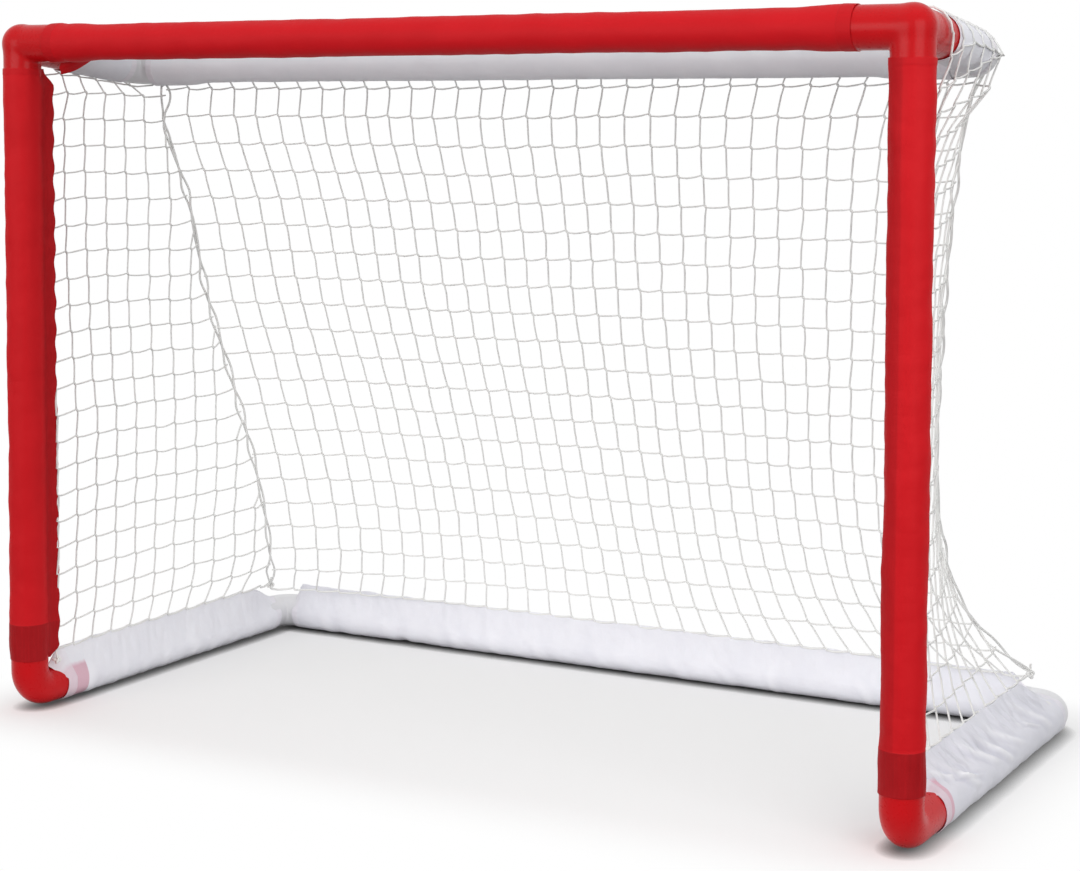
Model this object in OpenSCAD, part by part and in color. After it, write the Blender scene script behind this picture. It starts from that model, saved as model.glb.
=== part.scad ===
// Street hockey goal: push-fit tube frame, cloth sleeves and a knotted net.
// Origin: on the floor, midway across and midway from front to back. +Y is the back of the goal.

/* [Goal] */
// Overall width, over the cloth on the two posts
goal_w = 1568; // [1200:1:2000]
// Overall height, over the cloth on the crossbar
goal_h = 1120; // [900:1:1400]
// Overall depth on the floor
goal_d = 778; // [620:1:1000]
// Post axis to the axis of the rear top tube
top_reach = 290; // [270:1:420]
// How far the rear top tube lies below the crossbar
top_drop = 30; // [0:1:60]

/* [Tubes and fittings] */
// Outside diameter of every tube
pipe_d = 50; // [40:0.5:60]
// Wall of every tube
pipe_wall = 3; // [1.5:0.1:6]
// Radial room of a tube in its socket
socket_clear = 0.15; // [0.05:0.05:0.5]
// Wall of a fitting's sockets
fitting_wall = 4.85; // [3:0.05:8]
// Depth of a socket, from its stop to its rim
socket_depth = 70; // [50:1:90]
// Ledge inside a fitting that stops the tube
stop_ledge = 4; // [1:0.5:8]
// Radius of the crease on the inner side of an elbow
crease_r = 4; // [1:0.5:15]
// Length of straight wall between an elbow's bend and its stop
stop_run = 6; // [2:1:20]
// Round on the outer corner of the three-way fittings, as a share of the full square corner
corner_round = 0.82; // [0.72:0.01:0.95]

/* [Cloth sleeves] */
// Thickness of the sleeve cloth
cloth_t = 1.6; // [0.8:0.1:3]
// Room between the cloth and a fitting
fitting_slack = 0.4; // [0.2:0.1:1]
// Room between the cloth and a tube
pipe_slack = 0.9; // [0.2:0.1:1]
// Length over which a sleeve widens to pass over a fitting
sleeve_flare = 22; // [10:1:40]
// Bare length of the fitting at each end of the crossbar, from the post axis
bar_bare = 75; // [45:1:100]
// Bare length of the fitting at the top of a post, from the crossbar axis
post_top_bare = 40; // [36:1:100]
// Bare length of the fitting at the foot of a post, from the base axis
post_foot_bare = 52; // [40:1:100]
// Bare length of the elbow at the front of a base tube, from the post axis
base_front_bare = 88; // [45:1:100]
// Bare length of the fitting at the front of a side top tube, from the post axis
top_front_bare = 95; // [45:1:105]
// Bare length of the white elbows, from the corner to each cloth edge
rear_bare = 42; // [40:1:100]
// Height of the sewn fin on the post sleeves, past the round of the sleeve
post_fin = 24; // [10:1:50]
// Height of the sewn fin on the side base sleeves
side_fin = 36; // [10:1:60]
// Height of the sewn fin on the rear base sleeve
rear_fin = 29; // [10:1:60]
// Height of the sewn fin on the crossbar sleeve
bar_fin = 30; // [10:1:50]
// Thickness of a fin at its edge, two layers of cloth
fin_t = 2.4; // [1:0.1:5]
// Inward lean of the side base fins, from upright
side_lean = 20; // [0:1:35]
// Forward lean of the rear base fin, from upright
rear_lean = 22; // [0:1:35]
// How far the weight of the goal flattens the base sleeves
floor_flat = 0.8; // [0.4:0.1:1.2]

/* [Net] */
// Spacing of the modelled cords, two real meshes of the knotted net
net_pitch = 90; // [60:1:140]
// Width of a net cord
cord_d = 3.5; // [2:0.1:6]
// Clearance between the net and what it is tied to
net_clear = 0.3; // [0.2:0.1:1]
// How far net tension draws the rear seams inward
seam_in = 135; // [0:1:160]
// How far net tension draws the rear seams forward
seam_forward = 100; // [0:1:120]
// Diameter of the doubled cord along each rear seam
seam_d = 8; // [4:0.5:14]
// Diameter of a tied knot
knot_d = 11; // [6:0.5:20]

/* [Hidden] */
$fn = 64;
pipe_r = pipe_d / 2;
bore_r = pipe_r - pipe_wall;
socket_r = pipe_r + socket_clear;
fitting_r = socket_r + fitting_wall;
bend_r = fitting_r + crease_r;
stop_at = bend_r + stop_run;
leg = stop_at + socket_depth;
core_r = socket_r - stop_ledge;
// The third leg of a three-way fitting is slimmer than the other two by this much
third_trim = 0.5;
wide_in = fitting_r + fitting_slack;
wide_out = wide_in + cloth_t;
slim_in = pipe_r + pipe_slack;
slim_out = slim_in + cloth_t;

// Axes of the frame
post_x = goal_w / 2 - wide_out;
bar_z = goal_h - wide_out;
base_z = wide_out - floor_flat;
front_y = wide_out - goal_d / 2;
rear_y = goal_d / 2 - wide_out;
top_y = front_y + top_reach;
top_z = bar_z - top_drop;
side_len = norm([top_reach, top_drop]);
slope = atan2(top_drop, top_reach);

// How far a cutting shape runs past the face that it cuts
past = 1;
// Half of the angle that a fin's root takes up on its sleeve
fin_spread = 37;

// Where the net is tied. An edge that meets its fin at an angle needs more room than one in line.
function seat(turn) = net_clear + cord_d / 2 * sin(turn);
net_off = seat(90);
post_turn = 35;
base_turn = 28;
post_fin_dir = 45;
post_edge = slim_out + post_fin + seat(post_turn);
post_edge_x = post_x - post_edge * sin(post_fin_dir);
post_edge_y = front_y + post_edge * cos(post_fin_dir);
side_edge = wide_out + side_fin + seat(base_turn);
side_edge_x = post_x - side_edge * sin(side_lean);
side_edge_z = base_z + side_edge * cos(side_lean);
rear_edge = wide_out + rear_fin + seat(base_turn);
rear_edge_y = rear_y - rear_edge * sin(rear_lean);
rear_edge_z = base_z + rear_edge * cos(rear_lean);
over_top = wide_out + net_off;
// The seams start behind the elbows, this share of the way out to the side nets
seam_out = 0.6;
seam_top = [post_x + seam_out * over_top, top_y + over_top, top_z];
seam_foot = [side_edge_x - seam_d / 2, rear_y - rear_bare, side_edge_z + seam_d / 4];
// Shares of a side net's height over which it drapes off the top tube and wraps round the elbow
drape_end = 0.25;
wrap_end = 0.09;
// Shape of a seam's pull, and how sharply the edges of the panels turn to their ends
pull_rise = 0.62;
pull_fall = 8;
wrap_power = 20;
foot_power = 10;
bow_power = 4;

red = "#c8202a";
white = "#e8e8ec";
cord_white = "#d8d8da";

// ---- Shapes that repeat ----

// Tube along +Z from `from` to `to`
module tube(from, to) {
    translate([0, 0, from])
        difference() {
            cylinder(r = pipe_r, h = to - from);
            translate([0, 0, -past])
                cylinder(r = bore_r, h = to - from + 2 * past);
        }
}

// Straight part of an elbow's leg along +Z, from the bend out to its rim
module straight(r) {
    translate([0, 0, bend_r])
        cylinder(r = r, h = leg - bend_r);
}

// Bore that takes a tube, along +Z
module socket() {
    translate([0, 0, stop_at])
        cylinder(r = socket_r, h = socket_depth + past);
}

// Quarter bend from the +Z leg to the +X leg
module bend(r) {
    translate([bend_r, 0, bend_r])
        rotate([90, 0, 0])
            rotate([0, 0, 180])
                rotate_extrude(angle = 90)
                    translate([bend_r, 0])
                        circle(r = r);
}

// Two-way elbow with legs along +X and +Z
module elbow() {
    difference() {
        union() {
            bend(fitting_r);
            straight(fitting_r);
            rotate([0, 90, 0])
                straight(fitting_r);
        }
        bend(core_r);
        for (turn = [0, 90])
            rotate([0, turn, 0]) {
                straight(core_r);
                socket();
            }
    }
}

// Leg along +X, cut at the corner by the mitre plane x + z = 0
module mitred_leg(r) {
    difference() {
        rotate([0, 90, 0])
            translate([0, 0, -2 * r])
                cylinder(r = r, h = leg + 2 * r);
        rotate([0, 45, 0])
            translate([-leg, -leg, -2 * leg])
                cube(2 * leg);
    }
}

// Legs along +X and -Z that meet in a mitre
module mitred_pair(r) {
    mitred_leg(r);
    mirror([1, 0, 1])
        mitred_leg(r);
}

// What is taken off the outer corner to round it
module corner_cut() {
    size = 2 * fitting_r;
    difference() {
        translate([-size, -size, 0])
            cube([size, 2 * size, size]);
        sphere(r = fitting_r * sqrt(2) * corner_round);
    }
}

// Three-way corner with legs along +X, -Z and, sloping down, +Y
module three_way() {
    difference() {
        union() {
            difference() {
                mitred_pair(fitting_r);
                corner_cut();
            }
            rotate([-90 - slope, 0, 0])
                cylinder(r = fitting_r - third_trim, h = leg);
        }
        mitred_pair(core_r);
        rotate([-90 - slope, 0, 0])
            cylinder(r = core_r - third_trim, h = leg);
        for (turn = [[0, 90, 0], [180, 0, 0], [-90 - slope, 0, 0]])
            rotate(turn)
                socket();
    }
}

// Solid of revolution of a sleeve's wall line: wide over the fittings, slim on the tube
module sleeve_body(from, to, wide_from, wide_to, wide, slim, extra = 0) {
    rotate_extrude()
        polygon([
            [0, from - extra], [wide, from - extra], [wide, wide_from],
            [slim, wide_from + sleeve_flare], [slim, wide_to - sleeve_flare],
            [wide, wide_to], [wide, to + extra], [0, to + extra]
        ]);
}

// Outline of a sewn fin that stands on the sleeve along +X of its section
module fin_outline(round_r, height) {
    root_r = round_r - cloth_t / 2;
    root_x = root_r * cos(fin_spread);
    root_y = root_r * sin(fin_spread);
    tip_x = round_r + height;
    polygon([[root_x, -root_y], [tip_x, -fin_t / 2], [tip_x, fin_t / 2], [root_x, root_y]]);
}

// Sleeve along +Z that widens over the fitting at each end, with a fin turned to `dir`
module flared_sleeve(from, to, wide_from, wide_to, height, dir) {
    difference() {
        union() {
            sleeve_body(from, to, wide_from, wide_to, wide_out, slim_out);
            if (height > 0)
                rotate([0, 0, dir])
                    translate([0, 0, from])
                        linear_extrude(to - from)
                            fin_outline(slim_out, height);
        }
        sleeve_body(from, to, wide_from, wide_to, wide_in, slim_in, past);
    }
}

// Loose round sleeve of one width along +Z
module round_sleeve(from, to) {
    translate([0, 0, from])
        difference() {
            cylinder(r = wide_out, h = to - from);
            translate([0, 0, -past])
                cylinder(r = wide_in, h = to - from + 2 * past);
        }
}

// Loose sleeve along +Z with a fin turned to `dir`, pressed flat where it rests on the floor at `down`
module resting_sleeve(from, to, height, dir, down) {
    translate([0, 0, from])
        linear_extrude(to - from)
            difference() {
                union() {
                    circle(r = wide_out);
                    rotate(dir)
                        fin_outline(wide_out, height);
                }
                circle(r = wide_in);
                rotate(down)
                    translate([base_z, -wide_out])
                        square(2 * wide_out);
            }
}

// Places on the frame. side is -1 on the left and 1 on the right.
module at_post(side) {
    translate([side * post_x, front_y, base_z])
        mirror([side > 0 ? 1 : 0, 0, 0])
            children();
}

module at_top_corner(side) {
    translate([side * post_x, front_y, bar_z])
        mirror([side > 0 ? 1 : 0, 0, 0])
            children();
}

// +Z runs back along a base tube
module along_base(side) {
    at_post(side)
        rotate([-90, 0, 0])
            children();
}

// +Z runs back along a side top tube
module along_top(side) {
    at_top_corner(side)
        rotate([-90 - slope, 0, 0])
            children();
}

// +Z runs to the right, from a left-hand corner at [x, y, z]
module along_x(y, z) {
    translate([-post_x, y, z])
        rotate([0, 90, 0])
            children();
}

// ---- Net ----

function mix(a, b, t) = a + (b - a) * t;

// How far tension draws a seam, 0 at both ends; u runs from the top (0) to the foot (1)
function pull(u) = pow(u, pull_rise) * (1 - pow(u, pull_fall));

function seam_x(u) =
    let (overhang = (seam_top[0] - post_x) * pow(1 - u, wrap_power))
    mix(post_x, seam_foot[0], u) + overhang - seam_in * pull(u);

function seam_y(u) = mix(seam_top[1], seam_foot[1], u) - seam_forward * pull(u);

function seam_z(u) = mix(seam_top[2], seam_foot[2], u);

function seam_point(u) = [seam_x(u), seam_y(u), seam_z(u)];

function unit(v) = v / norm(v);

function seam_dir(u) =
    unit(seam_point(min(u + 1 / net_rows, 1)) - seam_point(max(u - 1 / net_rows, 0)));

// Room from the seam's centre to a panel that meets it along an axis (0 is x, 1 is y)
function seam_room(u, axis) = (seam_d / 2 + net_clear) / sqrt(1 - pow(seam_dir(u)[axis], 2));

// Front edge of a side net: over the tube at the top, then down the post's fin
function front_x(u) =
    let (drape = u < drape_end ? (1 + cos(180 * u / drape_end)) / 2 : 0)
    mix(post_edge_x, side_edge_x, pow(u, foot_power)) + (post_x + over_top - post_edge_x) * drape;

// Height of the side top tube's axis at y
function side_z(y) = bar_z - top_drop * (y - front_y) / top_reach;

// Points of the panels; s runs along a row from 0 to 1
function side_point(s, u) =
    let (end = 1 - seam_room(u, 1) / (seam_y(u) - post_edge_y))
    let (wrap = mix(wrap_power, 1, min(u / wrap_end, 1)))
    let (x = mix(front_x(u), seam_x(u), pow(s, wrap) * end))
    let (y = mix(post_edge_y, seam_y(u), s * end))
    [x, y, mix(side_z(y), side_edge_z, u)];

function back_point(s, u) =
    let (t = 2 * s - 1)
    let (x = t * (seam_x(u) - seam_room(u, 0)))
    let (mid_y = mix(top_y + over_top, rear_edge_y, u))
    [x, mix(mid_y, seam_y(u), pow(abs(t), bow_power)), mix(top_z - net_clear, rear_edge_z, u)];

// The top panel runs level from the crossbar's fin and turns down behind the rear tube
function top_point(s, v, flat_rows, rows) =
    let (x = (2 * s - 1) * (post_x - wide_out - net_clear))
    let (from_y = front_y + slim_out + bar_fin + net_clear)
    let (turn = v <= flat_rows ? 0 : 90 * (v - flat_rows) / (rows - flat_rows))
    let (run = min(v / flat_rows, 1))
    [
        x,
        mix(from_y, top_y, run) + over_top * sin(turn),
        mix(bar_z, top_z + over_top, run) - over_top * (1 - cos(turn))
    ];

// Surface normal at grid point i, j
function grid_normal(p, i, j, cols, rows) =
    unit(cross(
        p[min(i + 1, cols)][j] - p[max(i - 1, 0)][j],
        p[i][min(j + 1, rows)] - p[i][max(j - 1, 0)]
    ));

// Sheet with a four-sided opening in each cell of the grid p[i][j]
module lattice(p, cols, rows) {
    per_side = (cols + 1) * (rows + 1);
    holes = cols * rows;
    inset = cord_d / 2 / net_pitch;
    corner = [[inset, inset], [1 - inset, inset], [1 - inset, 1 - inset], [inset, 1 - inset]];
    normals = [for (i = [0:cols]) [for (j = [0:rows]) grid_normal(p, i, j, cols, rows)]];
    grid = [for (face = [1, -1], i = [0:cols], j = [0:rows])
        p[i][j] + face * cord_d / 2 * normals[i][j]];
    rims = [for (face = [1, -1], i = [0:cols - 1], j = [0:rows - 1], c = [0:3])
        let (a = corner[c][0], b = corner[c][1])
        mix(mix(p[i][j], p[i + 1][j], a), mix(p[i][j + 1], p[i + 1][j + 1], a), b)
            + face * cord_d / 2 * normals[i][j]];
    function at(face, i, j) = face * per_side + i * (rows + 1) + j;
    function rim(face, i, j, c) = 2 * per_side + 4 * (face * holes + i * rows + j) + c % 4;
    function cell(face, i, j) =
        [at(face, i, j), at(face, i + 1, j), at(face, i + 1, j + 1), at(face, i, j + 1)];
    front = [for (i = [0:cols - 1], j = [0:rows - 1], c = [0:3])
        let (q = cell(0, i, j), d = (c + 1) % 4)
        each [[q[c], rim(0, i, j, c), rim(0, i, j, d)], [q[c], rim(0, i, j, d), q[d]]]];
    back = [for (i = [0:cols - 1], j = [0:rows - 1], c = [0:3])
        let (q = cell(1, i, j), d = (c + 1) % 4)
        each [[q[c], rim(1, i, j, d), rim(1, i, j, c)], [q[c], q[d], rim(1, i, j, d)]]];
    walls = [for (i = [0:cols - 1], j = [0:rows - 1], c = [0:3])
        let (d = (c + 1) % 4)
        each [
            [rim(0, i, j, c), rim(1, i, j, c), rim(1, i, j, d)],
            [rim(0, i, j, c), rim(1, i, j, d), rim(0, i, j, d)]
        ]];
    border = concat(
        [for (i = [0:cols - 1]) [at(0, i, 0), at(0, i + 1, 0), at(1, i + 1, 0), at(1, i, 0)]],
        [for (j = [0:rows - 1])
            [at(0, cols, j), at(0, cols, j + 1), at(1, cols, j + 1), at(1, cols, j)]],
        [for (i = [0:cols - 1])
            [at(0, i + 1, rows), at(0, i, rows), at(1, i, rows), at(1, i + 1, rows)]],
        [for (j = [0:rows - 1]) [at(0, 0, j + 1), at(0, 0, j), at(1, 0, j), at(1, 0, j + 1)]]
    );
    edges = [for (q = border) each [[q[0], q[1], q[2]], [q[0], q[2], q[3]]]];
    polyhedron(points = concat(grid, rims), faces = concat(front, back, walls, edges));
}

net_rows = round((bar_z - rear_edge_z) / net_pitch);
back_cols = round(2 * post_x / net_pitch);
side_cols = round((top_reach + goal_d) / 2 / net_pitch);
flat_rows = round(top_reach / net_pitch);
// Rows in which the top net turns down behind the rear tube
turn_rows = 2;

module side_net(side) {
    mirror([side < 0 ? 1 : 0, 0, 0])
        lattice(
            [for (i = [0:side_cols]) [for (j = [0:net_rows]) side_point(i / side_cols, j / net_rows)]],
            side_cols, net_rows
        );
}

// Cord swept along the seam as one tube, with a ring at each row of the panels it joins
module seam_cord(side) {
    rings = net_rows;
    sides = 8;
    path = [for (k = [0:rings])
        let (p = seam_point(k / rings))
        [side * p[0], p[1], p[2]]];
    across = [side, 0, 0];
    points = [for (k = [0:rings])
        let (dir = unit(path[min(k + 1, rings)] - path[max(k - 1, 0)]))
        let (e = unit(cross(dir, across)))
        let (f = cross(dir, e))
        for (a = [0:sides - 1])
            path[k] + seam_d / 2 * (cos(360 * a / sides) * e + sin(360 * a / sides) * f)];
    skin = [for (k = [0:rings - 1], a = [0:sides - 1])
        let (b = (a + 1) % sides)
        each [
            [k * sides + a, (k + 1) * sides + a, (k + 1) * sides + b],
            [k * sides + a, (k + 1) * sides + b, k * sides + b]
        ]];
    head = [[for (a = [0:sides - 1]) a]];
    foot = [[for (a = [sides - 1:-1:0]) rings * sides + a]];
    polyhedron(points = points, faces = concat(skin, head, foot));
}

// ---- Pieces ----

module crossbar_tube() {
    color(white)
        along_x(front_y, bar_z)
            tube(stop_at, 2 * post_x - stop_at);
}

module post_tube(side) {
    color(white)
        at_post(side)
            tube(stop_at, bar_z - base_z - stop_at);
}

module base_tube(side) {
    color(white)
        along_base(side)
            tube(stop_at, rear_y - front_y - stop_at);
}

module rear_base_tube() {
    color(white)
        along_x(rear_y, base_z)
            tube(stop_at, 2 * post_x - stop_at);
}

module top_tube(side) {
    color(white)
        along_top(side)
            tube(stop_at, side_len - stop_at);
}

module rear_top_tube() {
    color(white)
        along_x(top_y, top_z)
            tube(stop_at, 2 * post_x - stop_at);
}

module top_corner(side) {
    color(red)
        at_top_corner(side)
            three_way();
}

// Legs up the post and back along the base
module bottom_elbow(side) {
    color(red)
        at_post(side)
            rotate([0, 0, 90])
                elbow();
}

// Legs forward along the base and across to the other side
module rear_elbow(side) {
    color(white)
        translate([side * post_x, rear_y, base_z])
            mirror([side > 0 ? 1 : 0, 0, 0])
                rotate([90, 0, 0])
                    elbow();
}

module top_rear_elbow(side) {
    color(white)
        along_top(side)
            translate([0, 0, side_len])
                mirror([0, 0, 1])
                    elbow();
}

module crossbar_sleeve() {
    color(red)
        along_x(front_y, bar_z)
            flared_sleeve(bar_bare, 2 * post_x - bar_bare, leg, 2 * post_x - leg, bar_fin, 90);
}

module post_sleeve(side) {
    top = bar_z - base_z;
    color(red)
        at_post(side)
            flared_sleeve(post_foot_bare, top - post_top_bare, leg, top - leg, post_fin, post_fin_dir);
}

module base_sleeve(side) {
    to = rear_y - front_y - rear_bare;
    color(white)
        along_base(side)
            resting_sleeve(base_front_bare, to, side_fin, side_lean - 90, 90);
}

module rear_base_sleeve() {
    to = 2 * post_x - rear_bare;
    color(white)
        along_x(rear_y, base_z)
            resting_sleeve(rear_bare, to, rear_fin, 180 + rear_lean, 0);
}

module top_sleeve(side) {
    color(white)
        along_top(side)
            round_sleeve(top_front_bare, side_len - rear_bare);
}

module rear_top_sleeve() {
    color(white)
        along_x(top_y, top_z)
            flared_sleeve(rear_bare, 2 * post_x - rear_bare, leg, 2 * post_x - leg, 0, 0);
}

module back_net() {
    color(cord_white)
        lattice(
            [for (i = [0:back_cols]) [for (j = [0:net_rows])
                back_point(1 - i / back_cols, j / net_rows)]],
            back_cols, net_rows
        );
}

module top_net() {
    rows = flat_rows + turn_rows;
    color(cord_white)
        lattice(
            [for (i = [0:back_cols]) [for (j = [0:rows])
                top_point(1 - i / back_cols, j, flat_rows, rows)]],
            back_cols, rows
        );
}

// Knots under the lower ends of the post fins and just past the rear ends of the side base fins
module net_knots() {
    reach = knot_d / 2 + net_clear;
    color(cord_white)
        for (side = [-1, 1]) {
            translate([side * (post_edge_x + cord_d), post_edge_y - cord_d, base_z + post_foot_bare - reach])
                sphere(d = knot_d);
            translate([side * side_edge_x, rear_y - rear_bare + reach, side_edge_z - reach])
                sphere(d = knot_d);
        }
}

crossbar_tube();
post_tube(-1);  // left_post_tube
post_tube(1);  // right_post_tube
base_tube(-1);  // left_base_tube
base_tube(1);  // right_base_tube
rear_base_tube();
top_tube(-1);  // left_top_tube
top_tube(1);  // right_top_tube
rear_top_tube();
top_corner(-1);  // top_left_corner
top_corner(1);  // top_right_corner
bottom_elbow(-1);  // bottom_left_elbow
bottom_elbow(1);  // bottom_right_elbow
rear_elbow(-1);  // rear_left_elbow
rear_elbow(1);  // rear_right_elbow
top_rear_elbow(-1);  // top_rear_left_elbow
top_rear_elbow(1);  // top_rear_right_elbow
crossbar_sleeve();
post_sleeve(-1);  // left_post_sleeve
post_sleeve(1);  // right_post_sleeve
base_sleeve(-1);  // left_base_sleeve
base_sleeve(1);  // right_base_sleeve
rear_base_sleeve();
top_sleeve(-1);  // left_top_sleeve
top_sleeve(1);  // right_top_sleeve
rear_top_sleeve();
back_net();
color(cord_white) side_net(-1);  // left_side_net
color(cord_white) side_net(1);  // right_side_net
top_net();
color(cord_white) seam_cord(-1);  // left_seam_cord
color(cord_white) seam_cord(1);  // right_seam_cord
net_knots();
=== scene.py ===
import random
from math import atan2, cos, exp, hypot, log, pi, radians, sin, sqrt, tan

import bmesh
import bpy
from mathutils import Matrix, Vector, noise


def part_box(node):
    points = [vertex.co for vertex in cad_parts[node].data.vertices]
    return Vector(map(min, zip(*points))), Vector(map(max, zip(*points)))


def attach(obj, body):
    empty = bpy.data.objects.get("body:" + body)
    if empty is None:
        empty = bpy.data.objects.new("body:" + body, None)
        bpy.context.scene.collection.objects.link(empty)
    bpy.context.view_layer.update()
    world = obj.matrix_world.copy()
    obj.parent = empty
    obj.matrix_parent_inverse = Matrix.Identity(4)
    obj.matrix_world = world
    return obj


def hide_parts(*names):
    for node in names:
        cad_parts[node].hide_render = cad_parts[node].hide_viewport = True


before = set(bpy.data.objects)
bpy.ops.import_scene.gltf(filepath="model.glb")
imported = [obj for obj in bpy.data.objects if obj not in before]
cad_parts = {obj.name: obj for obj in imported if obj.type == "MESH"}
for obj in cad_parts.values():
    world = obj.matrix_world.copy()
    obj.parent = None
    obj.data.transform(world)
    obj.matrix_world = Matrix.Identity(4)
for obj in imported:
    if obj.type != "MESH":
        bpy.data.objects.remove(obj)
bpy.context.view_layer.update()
print("frame loaded,", len(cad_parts), "nodes")


# the frame's axes, read from the tubes

def middle(node, axis):
    low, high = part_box(node)
    return (low[axis] + high[axis]) / 2


postX = middle("right_post_tube", 0)
frontY = middle("right_post_tube", 1)
barZ = middle("crossbar_tube", 2)
baseZ = middle("rear_base_tube", 2)
rearY = middle("rear_base_tube", 1)
topY = middle("rear_top_tube", 1)
topZ = middle("rear_top_tube", 2)
sides = {"left": -1, "right": 1}
right, back, up = Vector((1, 0, 0)), Vector((0, 1, 0)), Vector((0, 0, 1))
slope = Vector((0, topY - frontY, topZ - barZ)).normalized()


def at(sign, y, z):
    return Vector((sign * postX, y, z))


def mix(a, b, t):
    return a + (b - a) * t


def ease(t):
    t = min(max(t, 0), 1)
    return t * t * (3 - 2 * t)


def wave(x, seed):
    return noise.noise(Vector((x, seed * 7.31, seed * 1.7)))


# materials

def hexColour(text):
    parts = [int(text[i:i + 2], 16) / 255 for i in (0, 2, 4)]
    linear = [c / 12.92 if c <= 0.04045 else ((c + 0.055) / 1.055) ** 2.4 for c in parts]
    return (*linear, 1)


def feed(tree, node, inputs):
    # an input takes a link from a socket, or a plain value
    for name, value in inputs.items():
        if isinstance(value, bpy.types.NodeSocket):
            tree.links.new(value, node.inputs[name])
        else:
            node.inputs[name].default_value = value


def addNode(tree, kind, inputs=None, **settings):
    node = tree.nodes.new(kind)
    for name, value in settings.items():
        setattr(node, name, value)
    feed(tree, node, inputs or {})
    return node


def maths(tree, operation, *values, clamp=False):
    settings = {"operation": operation, "use_clamp": clamp}
    return addNode(tree, "ShaderNodeMath", dict(enumerate(values)), **settings).outputs["Value"]


def tones(tree, share, low, high):
    # low and high are hex colours or sockets
    ends = [hexColour(end) if isinstance(end, str) else end for end in (low, high)]
    inputs = {"Factor": share, 6: ends[0], 7: ends[1]}
    return addNode(tree, "ShaderNodeMix", inputs, data_type="RGBA").outputs[2]


def clouded(tree, place, scale, detail, roughness=0.5):
    # noise; a scale of three numbers stretches it
    if isinstance(scale, tuple):
        place = addNode(tree, "ShaderNodeMapping", {"Vector": place, "Scale": scale}).outputs["Vector"]
        scale = 1
    inputs = {"Vector": place, "Scale": scale, "Detail": detail, "Roughness": roughness}
    return addNode(tree, "ShaderNodeTexNoise", inputs).outputs["Fac"]


def relief(tree, height, strength, distance, beneath=None):
    inputs = {"Height": height, "Strength": strength, "Distance": distance}
    if beneath is not None:
        inputs["Normal"] = beneath
    return addNode(tree, "ShaderNodeBump", inputs).outputs["Normal"]


def startMaterial(name):
    material = bpy.data.materials.new(name)
    material.use_nodes = True
    tree = material.node_tree
    place = addNode(tree, "ShaderNodeTexCoord").outputs["Object"]
    return material, tree, tree.nodes["Principled BSDF"], place


def mouldedPvc(name, colour, shade, roughness, gloss):
    # injection moulded PVC: smooth and glossy with a faint orange peel and flow clouding
    material, tree, shader, place = startMaterial(name)
    clouds = clouded(tree, place, scale=26, detail=3)
    scuffs = clouded(tree, place, scale=140, detail=4)
    dull = {"Value": scuffs, "To Min": roughness - 0.02, "To Max": roughness + 0.04}
    # orange peel about 2 mm across
    peel = clouded(tree, place, scale=480, detail=1)
    feed(tree, shader, {
        "Base Color": tones(tree, clouds, shade, colour),
        "Roughness": addNode(tree, "ShaderNodeMapRange", dull).outputs["Result"],
        "Normal": relief(tree, peel, strength=0.015, distance=0.0003),
        "IOR": 1.53,
        "Specular IOR Level": gloss,
    })
    return material


def extrudedPvc():
    # extruded PVC pipe: satin white with fine draw lines
    material, tree, shader, place = startMaterial("extrudedWhitePvc")
    lines = clouded(tree, place, scale=300, detail=2)
    feed(tree, shader, {
        "Base Color": tones(tree, lines, "D6D6DA", "E6E6EA"),
        "Roughness": 0.42,
        "Normal": relief(tree, lines, strength=0.2, distance=0.0003),
        "IOR": 1.53,
    })
    return material


weave = {
    "thread": 0.0014,  # real threads are 0.3 mm apart; wider here so that the weave shows
    "stitch": 0.004,  # from one dark dash to the next
    "pleats": (190, 9, 1),
    # how far the folds' painted light and shade move the cloth's colour
    "paintedShadingWeight": 0.7,
}


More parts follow.
